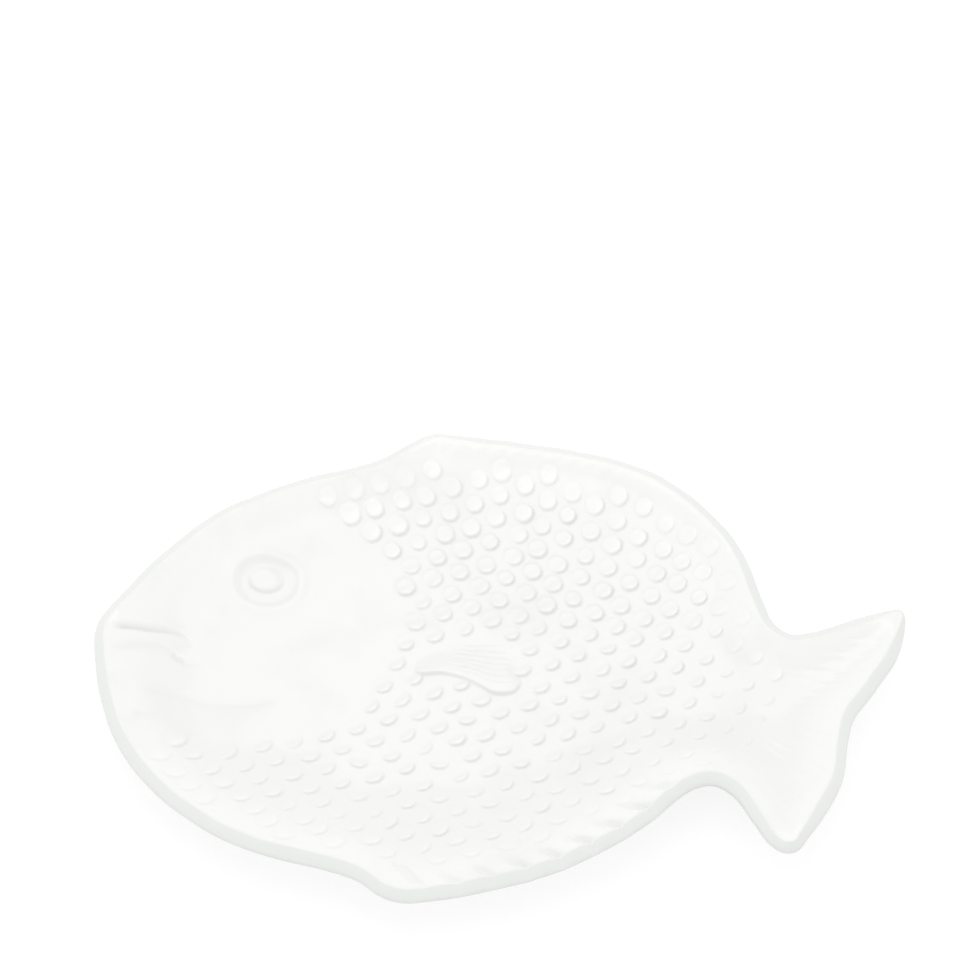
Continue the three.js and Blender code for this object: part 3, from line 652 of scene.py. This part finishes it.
# Upper face
# All the relief lies on the dish as one skin of clay, and the glaze evens out every sharp corner.
# The hand that pressed the slab left it slightly uneven.
FACE_STEP = 0.0008
FACE_GAP = 0.6 * FACE_STEP
SEED_STEP = 0.0005
MERGE_DISTANCE = 1e-9
INSIDE_ONLY = 1
SCALE_RINGS = [(0.3, 7), (0.6, 14), (0.8, 20), (0.87, 26), (0.93, 26), (0.99, 26), (1.05, 22)]
RING_STAGGER = 3
PRESS_RELIEF = 0.00012
PRESS_LENGTH = 0.043
PRESS_WAVES = [(1, 1.3, 0), (0.6, -1.7, 1), (1.9, 0.4, 2)]
PRESS_FADE = 4


def pressed(x, y):
    """Slow unevenness of the hand-pressed slab."""
    u = 2 * math.pi * x / PRESS_LENGTH
    v = 2 * math.pi * y / PRESS_LENGTH
    waves = [np.sin(along * u + across * v + start) for along, across, start in PRESS_WAVES]
    return PRESS_RELIEF * sum(waves)


def scale_points():
    """Middles of the scales, and rings round them that lie closest together at the steep edge."""
    middles = np.column_stack([scale_x[carries], scale_y[carries]])
    cosine = np.cos(scale_turn[carries])[:, None]
    sine = np.sin(scale_turn[carries])[:, None]
    points = [middles]
    for reach, count in SCALE_RINGS:
        angle = 2 * math.pi * (np.arange(count) + RING_STAGGER * reach) / count
        along = reach / 2 * scale_length[carries][:, None] * np.cos(angle)
        across = reach / 2 * scale_width[carries][:, None] * np.sin(angle)
        x = middles[:, :1] + along * cosine - across * sine
        y = middles[:, 1:] + along * sine + across * cosine
        points.append(np.column_stack([x.ravel(), y.ravel()]))
    return np.vstack(points)


def beside(line, offsets):
    """Rows of points along a smooth line, at offsets to its left."""
    line = smooth_line(line)
    travelled = np.concatenate([[0], np.cumsum(np.linalg.norm(np.diff(line, axis=0), axis=1))])
    wanted = np.arange(0, travelled[-1], SEED_STEP)
    x = np.interp(wanted, travelled, line[:, 0])
    y = np.interp(wanted, travelled, line[:, 1])
    middle = np.column_stack([x, y])
    run = np.gradient(middle, axis=0)
    left = np.column_stack([-run[:, 1], run[:, 0]]) / np.linalg.norm(run, axis=1)[:, None]
    return np.vstack([middle + left * offset for offset in offsets])


def clear_of(points, others, gap):
    """The points that lie farther than a gap from all the others."""
    tree = kdtree.KDTree(len(others))
    for i, (x, y) in enumerate(others):
        tree.insert((x, y, 0), i)
    tree.balance()
    return points[[tree.find((x, y, 0))[2] > gap for x, y in points]]


def lattice(loop, step):
    """Points of a triangular lattice inside a loop."""
    points = []
    low_x, low_y = loop.min(axis=0)
    rise = step * math.sqrt(0.75)
    after = np.roll(loop, -1, axis=0)
    for level in range(1, int((loop[:, 1].max() - low_y) / rise) + 1):
        y = low_y + level * rise
        cut = (loop[:, 1] > y) != (after[:, 1] > y)
        share = (y - loop[cut, 1]) / (after[cut, 1] - loop[cut, 1])
        crossings = np.sort(loop[cut, 0] + share * (after[cut, 0] - loop[cut, 0]))
        for start, end in zip(crossings[::2], crossings[1::2]):
            first = math.ceil((start + 0.5 * step - low_x) / step - (level % 2) / 2)
            last = math.floor((end - 0.5 * step - low_x) / step - (level % 2) / 2)
            x = low_x + (np.arange(first, last + 1) + (level % 2) / 2) * step
            points.append(np.column_stack([x, np.full_like(x, y)]))
    return np.vstack(points)


def triangles(points, loops):
    """Triangles of all the points within the outermost loop, with every loop kept as edges."""
    rims = [(a, b) for loop in loops for a, b in zip(loop, loop[1:] + loop[:1])]
    corners = [Vector(point) for point in points]
    found = geometry.delaunay_2d_cdt(corners, rims, [], INSIDE_ONLY, MERGE_DISTANCE)
    return np.array(found[2])


steep_rows = SEED_STEP * np.arange(-2, 4)
seeds = np.vstack([beside(PECTORAL_LOWER, steep_rows), beside(MOUTH_LINE, steep_rows - SEED_STEP / 2)])
seeds = np.vstack([lip_rings[0], clear_of(scale_points(), seeds, SEED_STEP), seeds])
face_plan = np.vstack([seeds, clear_of(lattice(lip_rings[0], FACE_STEP), seeds, FACE_GAP)])
face_triangles = triangles(face_plan, [list(range(EDGE_POINTS))])
x, y = face_plan.T
face_inset, face_place = from_edge(x, y)
fin, cover, shade_under_fin = pectoral_relief(x, y)
scales, shade_under_scales = on_scales(x, y)
_, shade_under_pupil = on_pupil(x, y)
scales *= 1 - cover
# Painted shade at the foot of the scales, under the pectoral fin and under the pupil
painted_shade = np.max([shade_under_scales * (1 - cover), shade_under_fin, shade_under_pupil], axis=0)
head = head_relief(x, y)
rays = fin_relief(x, y, face_inset, face_place) + tail_relief(x, y, face_inset)
face_relief = fin + scales + head + rays
uneven = pressed(x, y) * ease(face_inset / top_inset, 1, PRESS_FADE)
face_z = dish_height(face_inset) + face_relief + uneven

# Wall of the lip
# The cut edge is not quite even: the sponge has left it softly wavy, and the grooves of the belly fin
# run out over it.
WALL_WAVE = 0.0002
WALL_WAVE_LENGTH = 0.037
WALL_WAVE_MIDDLE = 1.1

around = 2 * math.pi * np.arange(EDGE_POINTS) / EDGE_POINTS
wave_count = round(edge_length / WALL_WAVE_LENGTH)
ripple_count = 2 * wave_count - 3
wave = WALL_WAVE_MIDDLE + (np.sin(wave_count * around) + np.sin(ripple_count * around + 1)) / 2
rim_z = face_z[:EDGE_POINTS]
rim_relief = face_relief[:EDGE_POINTS]
wall_plan = []
wall_z = []
for k in range(1, len(lip_inset)):
    run_out = max(0, 1 - k / (2 * LIP_STEPS))
    lean_in = WALL_WAVE * math.sin(math.pi * k / (len(lip_inset) - 1))
    ring = lip_rings[k] + edge_inward * (lean_in * wave)[:, None]
    wall_plan.append(ring)
    wall_z.append(rim_z + lip_height[k] - rim_relief * (1 - run_out))

# Underside and foot ring
# The plate stands on an oval foot ring turned out of the same clay. The underside is glazed, but the
# bearing face of the foot is wiped bare, so that the plate doesn't stick to the kiln shelf.
FOOT_CENTRE = (0.122, 0)
FOOT_LENGTH = 0.15
FOOT_WIDTH = 0.094
FOOT_BAND = 0.006
FOOT_DRAFT = 0.0015
FOOT_POINTS = 200
UNDERSIDE_STEP = 0.0034
UNDERSIDE_GAP = 0.6 * UNDERSIDE_STEP
FOOT_SECTION = [(-2.0, 1.0), (-1.0, 0.93), (-0.6, 0.62), (-0.25, 0.28), (0.0, 0.09), (0.3, 0.0)]

angle = 2 * math.pi * np.arange(FOOT_POINTS) / FOOT_POINTS
foot_insets = [drafts * FOOT_DRAFT for drafts, _ in FOOT_SECTION]
foot_shares = [share for _, share in FOOT_SECTION]
foot_insets += [FOOT_BAND - inset for inset in reversed(foot_insets)]
foot_shares += list(reversed(foot_shares))
foot_plan = [np.column_stack([FOOT_CENTRE[0] + (FOOT_LENGTH / 2 - inset) * np.cos(angle),
                              FOOT_CENTRE[1] + (FOOT_WIDTH / 2 - inset) * np.sin(angle)])
             for inset in foot_insets]
plain = clear_of(lattice(lip_rings[-1], UNDERSIDE_STEP), wall_plan[-1], UNDERSIDE_STEP / 2)
across = np.hypot((plain[:, 0] - FOOT_CENTRE[0]) * 2 / FOOT_LENGTH,
                  (plain[:, 1] - FOOT_CENTRE[1]) * 2 / FOOT_WIDTH)
foot_offset = (1 - across) * FOOT_WIDTH / 2
reach_out = foot_insets[0] - UNDERSIDE_GAP
reach_in = foot_insets[-1] + UNDERSIDE_GAP
plain = plain[(foot_offset < reach_out) | (foot_offset > reach_in)]
low_plan = np.vstack([wall_plan[-1], *foot_plan, plain])
low_inset_all, _ = from_edge(low_plan[:, 0], low_plan[:, 1])
low_z = underside_height(low_inset_all)
low_z[:EDGE_POINTS] = wall_z[-1]
for k, share in enumerate(foot_shares):
    start = EDGE_POINTS + k * FOOT_POINTS
    low_z[start:start + FOOT_POINTS] *= share
loops = [list(range(EDGE_POINTS))]
loops += [list(range(EDGE_POINTS + k * FOOT_POINTS, EDGE_POINTS + (k + 1) * FOOT_POINTS))
          for k in range(len(foot_plan))]
low_triangles = triangles(low_plan, loops)

# The plate
# Face, lip, underside and foot are one closed body of fired clay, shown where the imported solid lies.
plan_middle = (lowest + highest) / 2
body_plan = np.vstack([face_plan, *wall_plan[:-1], low_plan])
body_z = np.concatenate([face_z, *wall_z[:-1], low_z])
body_points = np.column_stack([body_plan - plan_middle, body_z])
low_start = len(face_plan) + (len(wall_plan) - 1) * EDGE_POINTS
ring_starts = [0] + [len(face_plan) + k * EDGE_POINTS for k in range(len(wall_plan))]
body_faces = face_triangles.tolist()
for upper, lower in zip(ring_starts, ring_starts[1:]):
    for i in range(EDGE_POINTS):
        after = (i + 1) % EDGE_POINTS
        body_faces.append([upper + i, upper + after, lower + after, lower + i])
underside_start = len(body_faces)
body_faces += (low_triangles[:, ::-1] + low_start).tolist()
plate_mesh = bpy.data.meshes.new("fish_plate")
plate_mesh.from_pydata(body_points.tolist(), [], body_faces)
plate_mesh.polygons.foreach_set("use_smooth", np.ones(len(body_faces), bool))
fish_plate = bpy.data.objects.new("fish_plate", plate_mesh)
bpy.context.scene.collection.objects.link(fish_plate)

# Painted light and shade, carried into the glaze colour. Lighter: painted light over the scale tops,
# where the glaze also runs thin, and up the rim slopes. Darker: pooled glaze with painted shade in the
# lines of the head and less so in the grooves of the fins, and painted shade at the foot of the scales,
# under the pupil and the pectoral fin, and down the lip wall
GROOVE_POOL_AND_SHADE = 0.4
HOLLOW_SHADE = 3
RIM_LIGHTENING = 0.55
RIM_LIGHT_BAND = (0.6, 0.2)
LIP_SHADE = 2
light_and_shade_values = np.zeros(len(body_points))
# Grooves of the head, and less so of the fins: pooled glaze with painted shade
pooled_and_shaded_grooves = np.minimum(head + GROOVE_POOL_AND_SHADE * rays, 0)
# Scale tops lighter, thin glaze with painted light; painted shade in the hollows
light_and_shade_values[:len(face_plan)] = (scales + pooled_and_shaded_grooves) / SCALE_HEIGHT - HOLLOW_SHADE * painted_shade
# Painted light: lighter up the rim slopes
light_and_shade_values[:len(face_plan)] += RIM_LIGHTENING * ease(face_inset / rise_width, *RIM_LIGHT_BAND)
# Painted shade: darker down the lip wall
for k, start in enumerate(ring_starts):
    light_and_shade_values[start:start + EDGE_POINTS] -= LIP_SHADE * ease(k, 1, LIP_STEPS + 1)
light_and_shade = plate_mesh.attributes.new("light_and_shade", "FLOAT", "POINT")
light_and_shade.data.foreach_set("value", light_and_shade_values.astype(np.float32))

# A clear glossy glaze over white clay. Its colour carries painted light, a little lighter on crests and
# rim slopes, and painted shade, darker and faintly green in hollows, under edges and down the lip, partly
# where the glaze pools. Random patches of the pooled tone are its own. Its skin is gently wavy, with a
# few pinholes.
GLAZE_WHITE = (0.898, 0.903, 0.885, 1)
GLAZE_THIN_AND_LIT = (0.936, 0.939, 0.922, 1)
GLAZE_POOLED_AND_SHADED = (0.825, 0.843, 0.82, 1)
GLAZE_IOR = 1.52
GLAZE_ROUGHNESS = (0.13, 0.22)
LIGHT_RANGE = (0.2, 0.7)
SHADE_RANGE = (-0.1, -2.4)
PATCH_SCALE = 35
PATCH_RANGE = (0.55, 0.75)
PATCH_SHARE = 0.35
NOISE_RANGE = (0.3, 0.7)
NOISE_ROUGHNESS = 0.55
PINHOLE_SCALE = 160
PINHOLE_RANGE = (0.03, 0.015)
WAVE_SCALE = 95
RIPPLE_SCALE = 420
RIPPLE_SHARE = 0.25
SKIN_STRENGTH = 0.35
SKIN_HEIGHT = 0.0002
MIX_FIRST = 6
MIX_SECOND = 7
MIX_RESULT = 2


def material(name):
    """New material with its node tree and its Principled shader."""
    made = bpy.data.materials.new(name)
    made.use_nodes = True
    return made, made.node_tree, made.node_tree.nodes["Principled BSDF"]


def node(tree, kind, **values):
    """New node whose inputs are set by name, with spaces written as underscores."""
    made = tree.nodes.new(kind)
    for name, value in values.items():
        made.inputs[name.replace("_", " ")].default_value = value
    return made


def mixed(tree, share, first, second):
    """Colour output that mixes two colours, each a value or a socket, by a share."""
    made = tree.nodes.new("ShaderNodeMix")
    made.data_type = "RGBA"
    for socket, colour in ((made.inputs[MIX_FIRST], first), (made.inputs[MIX_SECOND], second)):
        if isinstance(colour, tuple):
            socket.default_value = colour
        else:
            tree.links.new(colour, socket)
    tree.links.new(share, made.inputs[0])
    return made.outputs[MIX_RESULT]


def ranged(tree, source, low, high, start, end):
    """Value output that carries a source from one range to another, within its ends."""
    made = node(tree, "ShaderNodeMapRange", From_Min=low, From_Max=high, To_Min=start, To_Max=end)
    tree.links.new(source, made.inputs["Value"])
    return made.outputs["Result"]


def noise(tree, place, scale, detail):
    """Value output of a noise."""
    made = node(tree, "ShaderNodeTexNoise", Scale=scale, Detail=detail, Roughness=NOISE_ROUGHNESS)
    tree.links.new(place, made.inputs["Vector"])
    return made.outputs["Fac"]


white_glaze, tree, shader = material("white_glaze")
place = tree.nodes.new("ShaderNodeTexCoord").outputs["Object"]
on_light_and_shade = tree.nodes.new("ShaderNodeAttribute")
on_light_and_shade.attribute_name = "light_and_shade"
lighter = ranged(tree, on_light_and_shade.outputs["Fac"], *LIGHT_RANGE, 0, 1)
shaded = ranged(tree, on_light_and_shade.outputs["Fac"], *SHADE_RANGE, 0, 1)
patches = noise(tree, place, PATCH_SCALE, detail=3)
# Lighter towards the painted light colour, darker towards the painted shade colour
colour = mixed(tree, lighter, GLAZE_WHITE, GLAZE_THIN_AND_LIT)
colour = mixed(tree, shaded, colour, GLAZE_POOLED_AND_SHADED)
colour = mixed(tree, ranged(tree, patches, *PATCH_RANGE, 0, PATCH_SHARE), colour, GLAZE_POOLED_AND_SHADED)
pinhole = node(tree, "ShaderNodeTexVoronoi", Scale=PINHOLE_SCALE)
tree.links.new(place, pinhole.inputs["Vector"])
pit = ranged(tree, pinhole.outputs["Distance"], *PINHOLE_RANGE, 0, 1)
tree.links.new(colour, shader.inputs["Base Color"])
tree.links.new(ranged(tree, patches, *NOISE_RANGE, *GLAZE_ROUGHNESS), shader.inputs["Roughness"])
shader.inputs["IOR"].default_value = GLAZE_IOR
skin = tree.nodes.new("ShaderNodeMath")
skin.operation = "MULTIPLY_ADD"
skin.inputs[1].default_value = RIPPLE_SHARE
tree.links.new(noise(tree, place, RIPPLE_SCALE, detail=2), skin.inputs[0])
tree.links.new(noise(tree, place, WAVE_SCALE, detail=2), skin.inputs[2])
pitted = tree.nodes.new("ShaderNodeMath")
pitted.operation = "SUBTRACT"
tree.links.new(skin.outputs[0], pitted.inputs[0])
tree.links.new(pit, pitted.inputs[1])
bump = node(tree, "ShaderNodeBump", Strength=SKIN_STRENGTH, Distance=SKIN_HEIGHT)
tree.links.new(pitted.outputs[0], bump.inputs["Height"])
tree.links.new(bump.outputs["Normal"], shader.inputs["Normal"])
plate_mesh.materials.append(white_glaze)

# Bare foot
# Wiped clay, off-white and matt, with the grit of the body showing and grey scuffs from tables.
CLAY = (0.8, 0.775, 0.725, 1)
CLAY_GRIT = (0.66, 0.62, 0.56, 1)
CLAY_SCUFF = (0.55, 0.54, 0.53, 1)
CLAY_ROUGHNESS = (0.9, 0.7)
GRIT_SCALE = 2600
GRIT_RANGE = (0.55, 0.72)
GRIT_STRENGTH = 0.5
GRIT_HEIGHT = 0.00015
SCUFF_SCALE = 130
SCUFF_RANGE = (0.58, 0.75)
SCUFF_SHARE = 0.7
WIPED_HEIGHT = 0.12 * FOOT_HEIGHT

bare_clay, tree, shader = material("bare_clay")
place = tree.nodes.new("ShaderNodeTexCoord").outputs["Object"]
grit = noise(tree, place, GRIT_SCALE, detail=2)
scuff = noise(tree, place, SCUFF_SCALE, detail=5)
colour = mixed(tree, ranged(tree, grit, *GRIT_RANGE, 0, 1), CLAY, CLAY_GRIT)
colour = mixed(tree, ranged(tree, scuff, *SCUFF_RANGE, 0, SCUFF_SHARE), colour, CLAY_SCUFF)
tree.links.new(colour, shader.inputs["Base Color"])
tree.links.new(ranged(tree, scuff, *NOISE_RANGE, *CLAY_ROUGHNESS), shader.inputs["Roughness"])
bump = node(tree, "ShaderNodeBump", Strength=GRIT_STRENGTH, Distance=GRIT_HEIGHT)
tree.links.new(grit, bump.inputs["Height"])
tree.links.new(bump.outputs["Normal"], shader.inputs["Normal"])
plate_mesh.materials.append(bare_clay)
wiped = np.zeros(len(body_faces), np.int32)
wiped[underside_start:] = low_z[low_triangles].max(axis=1) < WIPED_HEIGHT
plate_mesh.polygons.foreach_set("material_index", wiped)
plate_mesh.update()

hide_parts("plate_body")
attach(fish_plate, "root")

# Table and backdrop
# A plain white sheet that the plate lies on. Seen directly it is white, and it keeps the plate's shadow.
TABLE_SIZE = 6
TABLE_WHITE = (0.7, 0.7, 0.7, 1)
TABLE_SEEN = (0.25, 0.25, 0.25, 1)
TABLE_LIFT = 0.8
TABLE_ROUGHNESS = 0.9
TABLE_SHEEN = 0.1
WHITE = (1, 1, 1, 1)

table_mesh = bpy.data.meshes.new("table")
half = TABLE_SIZE / 2
corners = [(-half, -half, 0), (half, -half, 0), (half, half, 0), (-half, half, 0)]
table_mesh.from_pydata(corners, [], [(0, 1, 2, 3)])
table = bpy.data.objects.new("table", table_mesh)
bpy.context.scene.collection.objects.link(table)


def looked_at(tree):
    """Value output that is 1 for what the camera sees directly or in a reflection."""
    rays = tree.nodes.new("ShaderNodeLightPath")
    share = rays.outputs["Is Camera Ray"]
    for name in ("Is Glossy Ray", "Is Transmission Ray"):
        either = tree.nodes.new("ShaderNodeMath")
        either.operation = "MAXIMUM"
        tree.links.new(share, either.inputs[0])
        tree.links.new(rays.outputs[name], either.inputs[1])
        share = either.outputs[0]
    return share


paper, tree, shader = material("table")
shader.inputs["Roughness"].default_value = TABLE_ROUGHNESS
shader.inputs["Specular IOR Level"].default_value = TABLE_SHEEN
seen = looked_at(tree)
tree.links.new(mixed(tree, seen, TABLE_WHITE, TABLE_SEEN), shader.inputs["Base Color"])
tree.links.new(ranged(tree, seen, 0, 1, 0, TABLE_LIFT), shader.inputs["Emission Strength"])
shader.inputs["Emission Color"].default_value = WHITE
table_mesh.materials.append(paper)

# Light
# A pale room, brighter at its sides than overhead, and one large soft box that hangs over the back of
# the fish. Its face is as bright as the room looks, so the glaze mirrors no edge of it.
ROOM_SIDES = 1.36
ROOM_TOP = 0.595
KEY_PLACE = (-0.16, 0.24, 1.28)
KEY_SIZE = 1.1
KEY_POWER = 3.8
LIT_POINT = Vector((0, 0, 0.012))

room = bpy.data.worlds.new("room")
bpy.context.scene.world = room
room.use_nodes = True
tree = room.node_tree
backdrop = tree.nodes["Background"]
towards = tree.nodes.new("ShaderNodeSeparateXYZ")
tree.links.new(tree.nodes.new("ShaderNodeTexCoord").outputs["Generated"], towards.inputs["Vector"])
shine = ranged(tree, towards.outputs["Z"], 0, 1, ROOM_SIDES, ROOM_TOP)
tree.links.new(mixed(tree, looked_at(tree), shine, WHITE), backdrop.inputs["Color"])
backdrop.inputs["Strength"].default_value = 1

key = bpy.data.objects.new("key", bpy.data.lights.new("key", "AREA"))
key.data.energy = KEY_POWER
key.data.size = KEY_SIZE
key.location = KEY_PLACE
key.rotation_euler = (LIT_POINT - key.location).to_track_quat("-Z", "Y").to_euler()
bpy.context.scene.collection.objects.link(key)

# Camera
# It looks down on the plate from the belly side, with the plate in the lower half of a square frame.
CAMERA_AZIMUTH = math.radians(6.93)
CAMERA_ELEVATION = math.radians(56.4)
CAMERA_DISTANCE = 1.25
CAMERA_TARGET = Vector((-0.0163, 0.0864, 0.012))
FRAME_WIDTH = 0.3722

camera = bpy.data.objects.new("camera", bpy.data.cameras.new("camera"))
bpy.context.scene.collection.objects.link(camera)
bpy.context.scene.camera = camera
away = Vector((math.sin(CAMERA_AZIMUTH) * math.cos(CAMERA_ELEVATION),
               -math.cos(CAMERA_AZIMUTH) * math.cos(CAMERA_ELEVATION),
               math.sin(CAMERA_ELEVATION)))
camera.location = CAMERA_TARGET + away * CAMERA_DISTANCE
camera.rotation_euler = (-away).to_track_quat("-Z", "Y").to_euler()
camera.data.sensor_fit = "HORIZONTAL"
camera.data.lens = camera.data.sensor_width * CAMERA_DISTANCE / FRAME_WIDTH
bpy.context.scene.view_settings.view_transform = "Standard"

bpy.context.view_layer.update()
